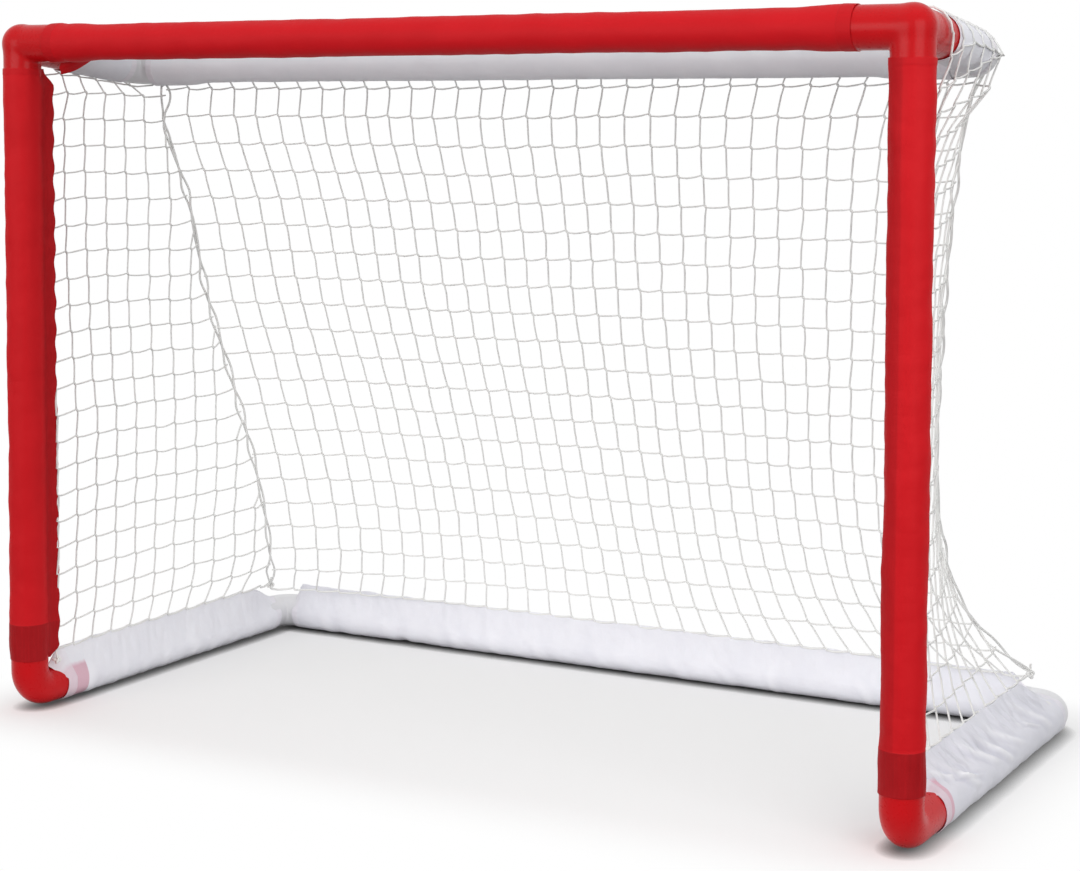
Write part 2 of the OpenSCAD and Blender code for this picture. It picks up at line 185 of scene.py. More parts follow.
def wovenPolyester(name, look):
    # plain-weave polyester: matt, soft sheen, small crumples; the UV is in metres round and along
    material, tree, shader, place = startMaterial(name)
    cloth = addNode(tree, "ShaderNodeUVMap", uv_map="cloth").outputs["UV"]
    parts = addNode(tree, "ShaderNodeSeparateXYZ", {"Vector": cloth}).outputs
    marks = {}
    for mark in ("crease", "hemAndPaintedShade", "under", "stitch"):
        marks[mark] = addNode(tree, "ShaderNodeAttribute", attribute_name=mark).outputs["Fac"]

    def waves(where, length):
        return maths(tree, "SINE", maths(tree, "MULTIPLY", where, 2 * pi / length))

    # painted light and shade: fold ridges painted paler and troughs greyer, crumples painted as soft
    # mottled shade, and a whole sleeve painted paler in light and darker in shade
    clouds = clouded(tree, place, scale=15, detail=4)
    paintedMottle = maths(tree, "MULTIPLY_ADD", clouds, look["paintedCrumpleShade"], 0.5 - look["paintedCrumpleShade"] / 2)
    paintedBodyShade = maths(tree, "MULTIPLY_ADD", marks["crease"], weave["paintedShadingWeight"], paintedMottle, clamp=True)
    body = tones(tree, paintedBodyShade, look["shade"], look["colour"])
    # doubled cloth of the hems, with painted shade in the pleats of its turning; this mark also darkens a
    # post's fin and paints its shade stripe
    pleats = clouded(tree, cloth, scale=weave["pleats"], detail=2)
    hemmed = tones(tree, marks["hemAndPaintedShade"], body, tones(tree, pleats, look["hemShade"], look["hemAndPaintedShade"]))
    # what shows through the thin cloth from the fitting beneath
    seen = tones(tree, marks["under"], hemmed, look["under"])
    # a row of stitches along the foot of the fin
    run = maths(tree, "ADD", parts["X"], parts["Y"])
    dashes = maths(tree, "GREATER_THAN", waves(run, weave["stitch"]), 0)
    sewn = maths(tree, "MULTIPLY", dashes, marks["stitch"])
    # from the finest relief to the coarsest: threads, crumples, pleats
    warp, weft = waves(parts["X"], weave["thread"]), waves(parts["Y"], weave["thread"])
    woven = relief(tree, maths(tree, "MULTIPLY", warp, weft), strength=0.16, distance=0.00015)
    crumple = clouded(tree, cloth, scale=look["crumple"], detail=4, roughness=0.55)
    crumpled = relief(tree, crumple, strength=look["crumpleStrength"], distance=0.004, beneath=woven)
    pleatHeight = maths(tree, "MULTIPLY", pleats, marks["hemAndPaintedShade"])
    feed(tree, shader, {
        "Base Color": tones(tree, sewn, seen, look["thread"]),
        "Roughness": look["roughness"],
        "Normal": relief(tree, pleatHeight, strength=0.35, distance=0.002, beneath=crumpled),
        "Sheen Weight": look["sheen"],
        "Sheen Roughness": 0.4,
        "Specular IOR Level": look["specular"],
    })
    return material


def braidedTwine():
    # knotted net twine: off-white braided polyester, matt and slightly fuzzy
    material, tree, shader, place = startMaterial("braidedTwine")
    clouds = clouded(tree, place, scale=35, detail=2)
    # the braid's plaits, 1.3 mm long
    plaits = addNode(tree, "ShaderNodeTexVoronoi", {"Vector": place, "Scale": 780}).outputs["Distance"]
    feed(tree, shader, {
        "Base Color": tones(tree, clouds, "E2E2E0", "F0F0EE"),
        "Roughness": 0.85,
        "Normal": relief(tree, plaits, strength=0.25, distance=0.0004),
        "Sheen Weight": 0.2,
    })
    return material


# colour is the cloth's lit tone and shade its painted shade; clouding is how strongly its crumples are
# painted as mottled shade
redCloth = {
    "colour": "D2161F",
    "shade": "C41119",
    # the hem colour also darkens a post's fin and paints its shade stripe
    "hemAndPaintedShade": "B01119",
    "hemShade": "940C12",
    "under": "A81119",
    "thread": "8A0D12",
    "paintedCrumpleShade": 1,
    "crumple": (16, 46, 1),
    "crumpleStrength": 0.26,
    "roughness": 0.6,
    "sheen": 0,
    "specular": 0.14,
}
# as for the red cloth: shade is the painted shade of folds and crumples
whiteCloth = {
    "colour": "FAFAFE",
    "shade": "D6D6E0",
    "hemAndPaintedShade": "F2EEF3",
    "hemShade": "E6E2EA",
    "under": "D9AFBD",
    "thread": "C8C8D0",
    "paintedCrumpleShade": 0.4,
    "crumple": (24, 30, 1),
    "crumpleStrength": 0.40,
    "roughness": 0.55,
    "sheen": 0.1,
    "specular": 0.4,
}

redPvc = mouldedPvc("mouldedRedPvc", "C81017", "BE0D14", roughness=0.27, gloss=0.13)
whitePvc = mouldedPvc("mouldedWhitePvc", "E6E6E8", "DCDCE0", roughness=0.34, gloss=0.5)
pipePvc = extrudedPvc()
redPolyester = wovenPolyester("redPolyester", redCloth)
whitePolyester = wovenPolyester("whitePolyester", whiteCloth)
twine = braidedTwine()


# what the meshes share

def addObject(name, data):
    item = bpy.data.objects.new(name, data)
    bpy.context.scene.collection.objects.link(item)
    return item


def finishMesh(name, bm, material, node=None):
    mesh = bpy.data.meshes.new(name)
    bm.to_mesh(mesh)
    bm.free()
    mesh.shade_smooth()
    piece = addObject(name, mesh)
    mesh.materials.append(material)
    if node:
        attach(piece, "root")
        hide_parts(node)
    return piece


def evaluatedMesh(piece):
    bpy.context.view_layer.update()
    return bpy.data.meshes.new_from_object(piece.evaluated_get(bpy.context.evaluated_depsgraph_get()))


def faceOut(bm, faces, probe, start, along):
    # the faces are turned so that the probe looks away from the axis
    centre = probe.calc_center_median()
    foot = start + along * (centre - start).dot(along)
    if probe.normal.dot(centre - foot) < 0:
        bmesh.ops.reverse_faces(bm, faces=faces)


# tubes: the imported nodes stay

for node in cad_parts:
    if node.endswith("_tube"):
        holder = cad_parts[node]
        holder.data.materials.clear()
        holder.data.materials.append(pipePvc)
print("tubes finished")


# fittings

fitting = {
    "radius": 0.030,
    "wall": 0.00485,
    "bend": 0.034,  # centre line radius of the short elbows
    "leg": 0.110,  # corner to the rim of a socket
    "hub": 0.012,  # where the walls of a corner's legs start
    "voxel": 0.0019,
    "soften": 7,
    "blend": 0.0016,  # roundness of the creases between a corner's legs
    "settle": 4,  # steps that draw a point onto a corner's skin
    "rimKeep": 0.004,  # how much of a corner's leg keeps its melted rim
    "rimRound": 0.0014,
    "around": 56,
    "cornerAround": 72,
    "ballAround": 48,
    "bendSteps": 14,
    "legSteps": 4,
}


def elbow(name, knee, legA, legB, material, slot):
    bm = bmesh.new()
    legA, legB = legA.normalized(), legB.normalized()
    across = legA.cross(legB).normalized()
    stand = Matrix((across, legB, legA)).transposed().to_4x4()
    mouth = Matrix.Translation(knee + legA * fitting["leg"]) @ stand
    bmesh.ops.create_circle(bm, segments=fitting["around"], radius=fitting["radius"], matrix=mouth)
    ring = list(bm.edges)

    def pullOut(edges, shift):
        grown = bmesh.ops.extrude_edge_only(bm, edges=edges)["geom"]
        verts = [g for g in grown if isinstance(g, bmesh.types.BMVert)]
        bmesh.ops.translate(bm, verts=verts, vec=shift)
        fresh = set(verts)
        return [e for e in bm.edges if e.verts[0] in fresh and e.verts[1] in fresh]

    run = (fitting["leg"] - fitting["bend"]) / fitting["legSteps"]
    for _ in range(fitting["legSteps"]):
        ring = pullOut(ring, -legA * run)
    turned = bmesh.ops.spin(
        bm,
        geom=ring + list(dict.fromkeys(v for e in ring for v in e.verts)),
        cent=knee + (legA + legB) * fitting["bend"],
        axis=legB.cross(legA),
        angle=pi / 2,
        steps=fitting["bendSteps"],
        use_merge=False,
    )["geom_last"]
    ring = [g for g in turned if isinstance(g, bmesh.types.BMEdge)]
    for _ in range(fitting["legSteps"]):
        ring = pullOut(ring, legB * run)
    bmesh.ops.remove_doubles(bm, verts=bm.verts, dist=0.00001)
    bmesh.ops.recalc_face_normals(bm, faces=bm.faces)
    faceOut(bm, bm.faces, bm.faces[:][0], knee, legA)
    piece = finishMesh(name, bm, material, name)
    shell = piece.modifiers.new("wall", "SOLIDIFY")
    shell.thickness = fitting["wall"]
    shell.offset = -1
    rim = piece.modifiers.new("rim", "BEVEL")
    rim.width = fitting["rimRound"]
    rim.segments = 3
    rim.limit_method = "ANGLE"


def ontoSkin(point, hub, legs):
    # outer points are drawn onto the rounded union of the legs; rims and bores stay as they are
    for _ in range(fitting["settle"]):
        total, slant = 0, Vector()
        near = 1
        for leg in legs:
            along = (point - hub).dot(leg)
            away = point - hub - leg * min(max(along, 0), fitting["leg"])
            if away.length < near:
                near = away.length
                depth = along
            weight = exp(-away.length / fitting["blend"])
            total += weight
            slant += away.normalized() * weight
        inBore = near < fitting["radius"] - fitting["wall"] / 2
        if inBore or depth > fitting["leg"] - fitting["rimKeep"]:
            return point
        gap = -fitting["blend"] * log(total) - fitting["radius"]
        point = point - slant.normalized() * gap
    return point


def corner(name, hub, legs, material, slot):
    # three hollow legs on a ball, melted together
    bm = bmesh.new()
    bmesh.ops.create_uvsphere(
        bm,
        u_segments=fitting["ballAround"],
        v_segments=fitting["ballAround"] // 2,
        radius=fitting["radius"],
        matrix=Matrix.Translation(hub),
    )
    for leg in legs:
        turn = leg.to_track_quat("Z", "Y").to_matrix().to_4x4()
        root = Matrix.Translation(hub + leg * fitting["hub"]) @ turn
        size = {"segments": fitting["cornerAround"], "radius": fitting["radius"]}
        start = bmesh.ops.create_circle(bm, **size, matrix=root)["verts"]
        edges = list(dict.fromkeys(e for v in start for e in v.link_edges))
        grown = bmesh.ops.extrude_edge_only(bm, edges=edges)["geom"]
        far = [g for g in grown if isinstance(g, bmesh.types.BMVert)]
        bmesh.ops.translate(bm, verts=far, vec=leg * (fitting["leg"] - fitting["hub"]))
        skin = [g for g in grown if isinstance(g, bmesh.types.BMFace)]
        bmesh.ops.recalc_face_normals(bm, faces=skin)
        faceOut(bm, skin, skin[0], hub, leg)
        bmesh.ops.solidify(bm, geom=skin, thickness=fitting["wall"])
    piece = finishMesh(name, bm, material, name)
    melt = piece.modifiers.new("melt", "REMESH")
    melt.mode = "VOXEL"
    melt.voxel_size = fitting["voxel"]
    melt.use_smooth_shade = True
    soften = piece.modifiers.new("soften", "SMOOTH")
    soften.factor = 0.5
    soften.iterations = fitting["soften"]
    melted = evaluatedMesh(piece)
    piece.modifiers.clear()
    bm = bmesh.new()
    bm.from_mesh(melted)
    for vert in bm.verts:
        vert.co = ontoSkin(vert.co, hub, legs)
    bm.to_mesh(piece.data)
    bm.free()
    bpy.data.meshes.remove(melted)
    piece.data.shade_smooth()


redFitting = (redPvc, "red_plastic")
whiteFitting = (whitePvc, "white_plastic")
for side, sign in sides.items():
    inward = -sign * right
    corner("top_" + side + "_corner", at(sign, frontY, barZ), [inward, -up, slope], *redFitting)
    elbow("bottom_" + side + "_elbow", at(sign, frontY, baseZ), up, back, *redFitting)
    elbow("rear_" + side + "_elbow", at(sign, rearY, baseZ), -back, inward, *whiteFitting)
    elbow("top_rear_" + side + "_elbow", at(sign, topY, topZ), -slope, inward, *whiteFitting)
print("fittings finished")


# cloth sleeves

# what a sleeve is unless its own dictionary says otherwise; along it, v is 0 at the tube's corner
sleeve = {
    "wide": 0.0318,  # radius over a fitting
    "slim": 0.0276,  # radius on the tube
    "round": False,  # wide all along
    "flare": 0.055,
    "step": 0.0065,
    "cloth": 0.0009,
    "arcPoints": 48,
    "finHeight": 0,
    "finPoints": 7,
    "finEdge": 0.0011,  # half the fin's thickness at its crest
    "finLow": 0.0012,
    "finUneven": 0.06,
    "finEnd": 0.12,  # share of the height that a tapered fin ends with
    "flank": (radians(38), 2.1),  # where the fin leaves the round, and the curve of its sides
    "taperStart": 0,
    "taperEnd": 0,
    "tugs": 0,  # how much the net pulls the crest out at every mesh
    "tugAt": 0,
    "tugStep": 0.044,
    "sway": 0.0032,
    "shake": 0.0013,
    "pleats": 0,
    "gathers": 0.0008,
    "gatherReach": 0.03,
    "folds": (),
    "pinches": (),
    "droop": None,
    "lead": 0,  # how far the crest runs ahead of the start
    "leadReach": 0.08,
    "floor": False,
    "floorGap": 0.0002,
    "floorRuck": 0.0065,
    "floorSoft": 0.004,
    "hems": (0.012, 0.012),
    "hemRise": 0.0003,
    "hemTone": (1, 1),
    "finShade": 0,
    "paintedShadeBand": (0, 0, 0),  # a painted shade stripe: from, to and how dark
    "underTo": 0,
    "stitching": 0,
    # how much paler the whole sleeve is painted; below 0 it is painted darker, as in shade
    "paintedLight": 0,
}
fold = {
    "steep": 0.7,  # the far side falls off more slowly
    "trough": 2.1,
    "troughWidth": 0.9,
    "troughDepth": 0.4,
    # painted shade in a fold's trough, and the rise at which a fold's painted light and shade are full
    "troughPaintedShade": 0.6,
    "fullPaintedLightRise": 0.006,
}
finLean = {"side": radians(20), "rear": radians(22)}


def sleeveSection(spec, radius, height):
    # section points: x towards the fin's crest, y across it; share is 1 at the crest, 0 on the round
    if height <= 0:
        count = spec["arcPoints"] + 8
        angles = [2 * pi * k / count for k in range(count)]
        return [(radius * cos(angle), radius * sin(angle), 0) for angle in angles]
    root, curve = spec["flank"]
    tip = radius + height
    half = [(tip, spec["finEdge"], 1)]
    for k in range(1, spec["finPoints"] + 1):
        t = k / spec["finPoints"]
        x = mix(tip, radius * cos(root), t)
        y = mix(spec["finEdge"], radius * sin(root), t ** curve)
        half.append((x, y, 1 - t))
    points = [(tip + spec["finEdge"], 0, 1)] + half
    for k in range(1, spec["arcPoints"]):
        angle = mix(root, 2 * pi - root, k / spec["arcPoints"])
        points.append((radius * cos(angle), radius * sin(angle), 0))
    return points + [(x, -y, share) for x, y, share in reversed(half)]


def sleeveRadius(spec, v):
    if spec["round"]:
        return spec["wide"]
    inside = min(v, spec["length"] - v) - fitting["leg"]
    return mix(spec["wide"], spec["slim"], ease(inside / spec["flare"]))


def sleeveStations(spec):
    # where the rings lie, with a close pair at each edge of a tone
    first, last = spec["from"], spec["to"]
    marks = [first, last, first + spec["hems"][0], last - spec["hems"][1]]
    if spec["underTo"]:
        marks.append(spec["underTo"])
    steps = round((last - first) / spec["step"])
    stations = {round(mix(first, last, k / steps), 5) for k in range(steps + 1)}
    for mark in marks:
        stations |= {round(min(max(mark + d, first), last), 5) for d in (-0.0006, 0.0006)}
    return sorted(stations)


def sleeveSections(spec, stations):
    sections = []
    for v in stations:
        radius = sleeveRadius(spec, v)
        grow = 1
        for gap, taper in ((v - spec["from"], spec["taperStart"]), (spec["to"] - v, spec["taperEnd"])):
            if taper:
                grow = min(grow, mix(spec["finEnd"], 1, ease(gap / taper)))
        uneven = 1 + spec["finUneven"] * wave(v * 21, spec["seed"] + 5)
        tall = (spec["finHeight"] + spec["slim"] - radius) * grow * uneven
        tall += spec["tugs"] * cos(2 * pi * (v - spec["tugAt"]) / spec["tugStep"])
        sections.append(sleeveSection(spec, radius, max(tall, spec["finLow"]) if spec["finHeight"] else 0))
    return sections


def foldHeight(spec, angle, v):
    # loose folds that run round the sleeve on a slant: height, and painted light from trough to ridge, the
    # troughs painted greyer and the ridges paler
    total = paintedLight = 0
    for own in spec["folds"]:
        across = (angle - own["from"]) / (own["to"] - own["from"])
        if 0 < across < 1:
            centre = own["at"] + own["slant"] * across + own["bow"] * sin(pi * across)
            off = abs(v - centre) / own["width"]
            if v > centre:
                off *= fold["steep"]
            ridge = exp(-off ** 1.4)
            trough = exp(-((off - fold["trough"]) / fold["troughWidth"]) ** 2)
            reach = sin(pi * across) ** 0.6
            total += own["rise"] * (ridge - fold["troughDepth"] * trough) * reach
            paintedLight += (ridge - fold["troughPaintedShade"] * trough) * reach * min(own["rise"] / fold["fullPaintedLightRise"], 1)
    return total, paintedLight


def drape(spec, x, y, share, v):
    # a section point as the cloth really lies there, and the painted light and shade of its folds
    seed, first, last = spec["seed"], spec["from"], spec["to"]
    angle = atan2(y, x)
    dist = hypot(x, y)
    push, paintedLight = foldHeight(spec, angle % (2 * pi), v)
    for rise, around, pace in spec["ripples"]:
        where = Vector((cos(angle) * around, sin(angle) * around, v * pace))
        push += rise * noise.noise(where + Vector((seed, seed, seed)))
    for centre, width, depth in spec["pinches"]:
        push -= depth * exp(-((v - centre) / width) ** 2)
    if v < first + spec["hems"][0] or v > last - spec["hems"][1]:
        push += spec["hemRise"]
    # gathers that run down from the fin's seam
    near = exp(-abs(angle) * dist / spec["gatherReach"]) * (1 - share)
    push += spec["gathers"] * near * noise.noise(Vector((v * 95, angle * 3, seed)))
    x += push * cos(angle) * (1 - share)
    y += push * sin(angle) * (1 - share)
    if spec["finHeight"]:
        y *= 1 + spec["pleats"] * share * noise.noise(Vector((v * 130, seed, share * 2)))
        y += (wave(v * 26, seed) * spec["sway"] + wave(v * 63, seed + 2) * spec["shake"]) * share ** 1.3
    if spec["droop"]:
        turn = spec["droop"]["angle"] * (1 - ease((v - first) / spec["droop"]["length"]))
        turn *= min(share * 2, 1)
        c, s = cos(turn), sin(turn)
        x, y = x * c - y * s, x * s + y * c
    v -= spec["lead"] * share * (1 - ease((v - first) / spec["leadReach"]))
    return x, y, v, paintedLight


def pressed(spec, z, v):
    # the floor flattens the cloth, and lets a few rucks of its lower edge stand off
    soft = spec["floorSoft"]
    low = spec["floorGap"] + spec["floorRuck"] * max(0, wave(v * 17, spec["seed"] + 3) - 0.2)
    if z < low + soft:
        z = low + soft * max(0, (z - low + soft) / (2 * soft)) ** 2
    return z


def clothGrid(bm, count, levels):
    # rings of vertices that know their spot round the sleeve and their stage along it
    spot = bm.verts.layers.int.new("spot")
    stage = bm.verts.layers.int.new("stage")
    ring = bmesh.ops.create_circle(bm, segments=count, radius=sleeve["slim"])["verts"]
    for k, vert in enumerate(ring):
        vert[spot] = k
    edges = list(bm.edges)
    for level in range(1, levels):
        grown = bmesh.ops.extrude_edge_only(bm, edges=edges)["geom"]
        for vert in [g for g in grown if isinstance(g, bmesh.types.BMVert)]:
            vert[stage] = level
        edges = [
            g for g in grown
            if isinstance(g, bmesh.types.BMEdge) and g.verts[0][stage] == level == g.verts[1][stage]
        ]
    return spot, stage


def clothMarks(bm, spec, plain, reach, stations, spot, stage):
    # what the cloth's material reads
    first, last = spec["from"], spec["to"]
    hemStart, hemEnd = first + spec["hems"][0], last - spec["hems"][1]
    uv = bm.loops.layers.uv.new("cloth")
    hemAndPaintedShade = bm.verts.layers.float.new("hemAndPaintedShade")
    under = bm.verts.layers.float.new("under")
    stitch = bm.verts.layers.float.new("stitch")
    for vert in bm.verts:
        v = stations[vert[stage]]
        x, y, share = plain[vert[spot]]
        if v <= hemStart:
            vert[hemAndPaintedShade] = spec["hemTone"][0]
        elif v >= hemEnd:
            vert[hemAndPaintedShade] = spec["hemTone"][1]
        # darker cloth along a post's fin, and a painted shade stripe between two angles round the post
        shaded = spec["finShade"] * min(share * 3, 1)
        start, stop, depth = spec["paintedShadeBand"]
        if share == 0 and start < atan2(y, x) < stop:
            shaded = depth
        vert[hemAndPaintedShade] = max(vert[hemAndPaintedShade], shaded)
        if v <= spec["underTo"] and share < 0.3:
            vert[under] = 0.5 if v <= hemStart else 0.95
        vert[stitch] = spec["stitching"] if 0.15 < share < 0.3 else 0
    for face in bm.faces:
        spots = [loop.vert[spot] for loop in face.loops]
        closes = max(spots) - min(spots) > 1
        for loop in face.loops:
            k = loop.vert[spot]
            if closes and k == 0:
                k = len(plain)
            loop[uv].uv = (reach[k], stations[loop.vert[stage]] - first)


def makeSleeve(name, own, material):
    spec = {**sleeve, **own}
    along = spec["along"].normalized()
    crest = (spec["fin"] - along * spec["fin"].dot(along)).normalized()
    across = along.cross(crest)
    stations = sleeveStations(spec)
    sections = sleeveSections(spec, stations)
    plain = sleeveSection(spec, spec["slim"], spec["finHeight"])
    reach = [0]
    for a, b in zip(plain, plain[1:] + plain[:1]):
        reach.append(reach[-1] + hypot(b[0] - a[0], b[1] - a[1]))
    bm = bmesh.new()
    spot, stage = clothGrid(bm, len(plain), len(stations))
    crease = bm.verts.layers.float.new("crease")
    for vert in bm.verts:
        x, y, share = sections[vert[stage]][vert[spot]]
        x, y, v, paintedLight = drape(spec, x, y, share, stations[vert[stage]])
        # painted light and shade: the folds' paler ridges and greyer troughs, plus the sleeve's own
        # painted tone
        vert[crease] = paintedLight + spec["paintedLight"]
        vert.co = spec["origin"] + along * v + crest * x + across * y
        if spec["floor"]:
            vert.co.z = pressed(spec, vert.co.z, v)
    clothMarks(bm, spec, plain, reach, stations, spot, stage)
    far = (len(plain) // 2, len(plain) // 2 + 1)
    probe = next(face for face in bm.faces if all(loop.vert[spot] in far for loop in face.loops))
    faceOut(bm, bm.faces, probe, spec["origin"], along)
    piece = finishMesh(name, bm, material, name)
    shell = piece.modifiers.new("cloth", "SOLIDIFY")
    shell.thickness = spec["cloth"]
    shell.offset = -1


foldSpread = {
    "at": (0.2, 0.8),
    "from": (-0.25, 0.25),
    "to": (-0.4, 0.4),
    "slant": (0.6, 1.4),
    "bow": (-0.012, 0.018),
    "width": (0.005, 0.009),
    "rise": (0.5, 1.15),
}


def slantFolds(count, first, last, seed, facing, rise, slant):
    draw = random.Random(seed)
    folds = []
    for k in range(count):
        drawn = {key: draw.uniform(*spread) for key, spread in foldSpread.items()}
        drawn["at"] = mix(first, last, (k + drawn["at"]) / count)
        drawn["from"] += facing[0]
        drawn["to"] += facing[1]
        drawn["slant"] *= slant
        drawn["rise"] *= rise
        folds.append(drawn)
    return folds


barLength = 2 * postX
postLength = barZ - baseZ
baseLength = rearY - frontY
topLength = hypot(topY - frontY, topZ - barZ)


def laid(sign, y, z, along, length, start, end):
    # a sleeve on the tube from there, which stays bare for start and end
    return {"origin": at(sign, y, z), "along": along, "length": length, "from": start, "to": length - end}


baseCloth = {"round": True, "floor": True, "flank": (radians(54), 1.3), "gathers": 0.0024}

makeSleeve("crossbar_sleeve", {
    **laid(-1, frontY, barZ, right, barLength, 0.066, 0.075),
    "fin": back,
    "wide": 0.0311,
    "slim": 0.0282,
    "finHeight": 0.030,
    "seed": 3.1,
    "ripples": [(0.0009, 0.9, 30), (0.0007, 1.4, 9)],
    "hems": (0.020, 0.020),
    "hemTone": (0.25, 0.2),
    "stitching": 0.4,
    "lead": 0.014,
    "droop": {"angle": -0.95, "length": 0.078},
    "pinches": [(0.099, 0.006, 0.0009)],
    "on": ["crossbar_tube"],
}, redPolyester)

for side, sign in sides.items():
    inward = -sign * right
    makeSleeve(side + "_post_sleeve", {
        **laid(sign, frontY, baseZ, up, postLength, 0.052, 0.040),
        "fin": inward + back,
        "wide": 0.0311,
        "slim": 0.0303,
        "finHeight": 0.0167,
        "seed": 5.3 + sign,
        "ripples": [(0.0013, 0.8, 34), (0.0013, 1.3, 11), (0.0006, 2.2, 70)],
        "hems": (0.060, 0.010),
        "hemTone": (1, 0.15),
        "finShade": 0.75,
        # painted shade down the front-left third of the right post
        "paintedShadeBand": (radians(55), radians(128), 0.4) if side == "right" else (0, 0, 0),
        "stitching": 0.5,
        "tugs": 0.0014,
        "tugAt": 0.0652,
        "pleats": 0.9,
        "taperStart": 0.02,
        "taperEnd": 0.03,
        "on": [side + "_post_tube"],
    }, redPolyester)

baseBare = {"left": (0.060, 0.050), "right": (0.096, 0.042)}
baseFolds = {
    "left": slantFolds(8, 0.1, baseLength - 0.12, seed=4, facing=(0.7, 3.0), rise=0.0011, slant=0.02),
    "right": slantFolds(7, 0.1, baseLength - 0.18, seed=9, facing=(0.25, 1.75), rise=0.0052, slant=0.095),
}
for side, sign in sides.items():
    inward = -sign * right
    makeSleeve(side + "_base_sleeve", {
        **baseCloth,
        **laid(sign, frontY, baseZ, back, baseLength, *baseBare[side]),
        "fin": up + inward * tan(finLean["side"]),
        "step": 0.0048,
        "finHeight": 0.0405,
        "seed": 8.7 + sign,
        "ripples": [(0.0012, 0.9, 26), (0.0010, 1.5, 60)],
        "folds": baseFolds[side],
        # the right sleeve painted darker, as in shade, since its outer side faces away from the lamps; the
        # left one painted paler
        "paintedLight": -0.3 if side == "right" else 0.15,
        "pleats": 1.6 if side == "right" else 0.7,
        "hems": (0.022, 0.014),
        "hemTone": (0.6, 0.5),
        "underTo": fitting["leg"] + (0.018 if side == "right" else 0),
        "lead": 0.030,
        "taperStart": 0.012,
        "taperEnd": 0.09,
        "on": [side + "_base_tube"],
    }, whitePolyester)
    makeSleeve(side + "_top_sleeve", {
        **laid(sign, frontY, barZ, slope, topLength, 0.095, 0.042),
        "fin": inward,
        "round": True,
        "seed": 12.4 + sign,
        "ripples": [(0.0009, 0.9, 30), (0.0006, 1.5, 60)],
        "on": [side + "_top_tube"],
    }, whitePolyester)

makeSleeve("rear_base_sleeve", {
    **baseCloth,
    **laid(-1, rearY, baseZ, right, barLength, 0.042, 0.042),
    "fin": up - back * tan(finLean["rear"]),
    "finHeight": 0.0335,
    "seed": 15.2,
    "ripples": [(0.0012, 0.9, 16), (0.0009, 1.5, 45)],
    "folds": slantFolds(12, 0.08, barLength - 0.08, seed=21, facing=(0.6, 2.8), rise=0.0013, slant=0.02),
    # painted a little paler
    "paintedLight": 0.05,
    "pleats": 0.7,
    "hemTone": (0.5, 0.5),
    "pinches": [(0.285, 0.012, 0.0030)],
    "taperStart": 0.02,
    "taperEnd": 0.02,
    "on": ["rear_base_tube"],
}, whitePolyester)
makeSleeve("rear_top_sleeve", {
    **laid(-1, topY, topZ, right, barLength, 0.042, 0.042),
    "fin": back,
    "seed": 18.6,
    "ripples": [(0.0008, 0.8, 14), (0.0004, 1.5, 50)],
    # painted paler, to lift the shade on the side seen from the front
    "paintedLight": 0.3,
    "on": ["rear_top_tube"],
}, whitePolyester)
print("sleeves finished")


# net: u runs down a panel from 0 at the top to 1 at the foot

net = {
    "columns": 33,  # meshes across the back
    "backStep": 0.0466,  # height of a mesh on the back
    "sideStep": 0.0440,  # height of a mesh at a post
    "backRows": 20,
    "sideRows": 22,
    "sideMesh": 0.0465,  # meshes of the sides and the top, front to back
    "climb": {"left": 0.2, "right": 1},  # how far side rows take on the back's mesh height at the seam
    "twine": 0.0015,
    "border": 0.0019,
    "knot": 0.0026,
    "jog": 0.0015,  # how far a cord shifts where it passes a knot
    "sideJog": 0.0003,
    "rise": 0.0019,
    "sag": 0.0012,
    "topSag": 0.004,
    "wander": 0.0035,
    "scatter": 0.0011,
    "topScatter": 0.0012,
    "seamIn": 0.135,
    "seamForward": 0.100,
    "seamStart": 0.003,
    "seamGap": 0.012,  # between a side's last column and the seam
    "pullRise": 0.62,
    "pullFall": 8,
    "overTop": 0.03405,  # top tubes' axes to the twine that passes over them
    "topClear": 0.0022,
    "baseClear": 0.003,
    "postFin": 0.0486,
    "barFin": 0.0578,
    "sideFin": 0.0694,
    "rearFin": 0.0622,
    "drapeEnd": 0.25,
    "wrapEnd": 0.09,
    "wrapPower": 20,
    "footPower": 10,
    "bow": 1.9,  # how much the sides belly out before they turn in to the seam
    "cornerGap": 0.028,  # how far back of the post's fin the sides start at the top
    "fan": 0.215,
    "laceDrop": 0.008,
    "nextDrop": 0.003,
}
# the left side differs: metres its seam lies further out, in at the top and forward at the foot
leftSide = {"out": 0.028, "tuck": 0.036, "short": 0.040, "belly": 0.022, "hang": -0.45 * pi}
rowTwine = net["twine"] * 0.92
postEdge = Vector((postX - net["postFin"] * sqrt(0.5), frontY + net["postFin"] * sqrt(0.5), 0))
sideEdge = Vector((
    postX - net["sideFin"] * sin(finLean["side"]),
    0,
    baseZ + net["sideFin"] * cos(finLean["side"]),
))
rearEdge = Vector((
    0,
    rearY - net["rearFin"] * sin(finLean["rear"]),
    baseZ + net["rearFin"] * cos(finLean["rear"]),
))
seamTop = Vector((postX + 0.0135, topY + 0.0135, topZ))
seamFoot = Vector((sideEdge.x - 0.004, rearY - 0.042, sideEdge.z + 0.002))

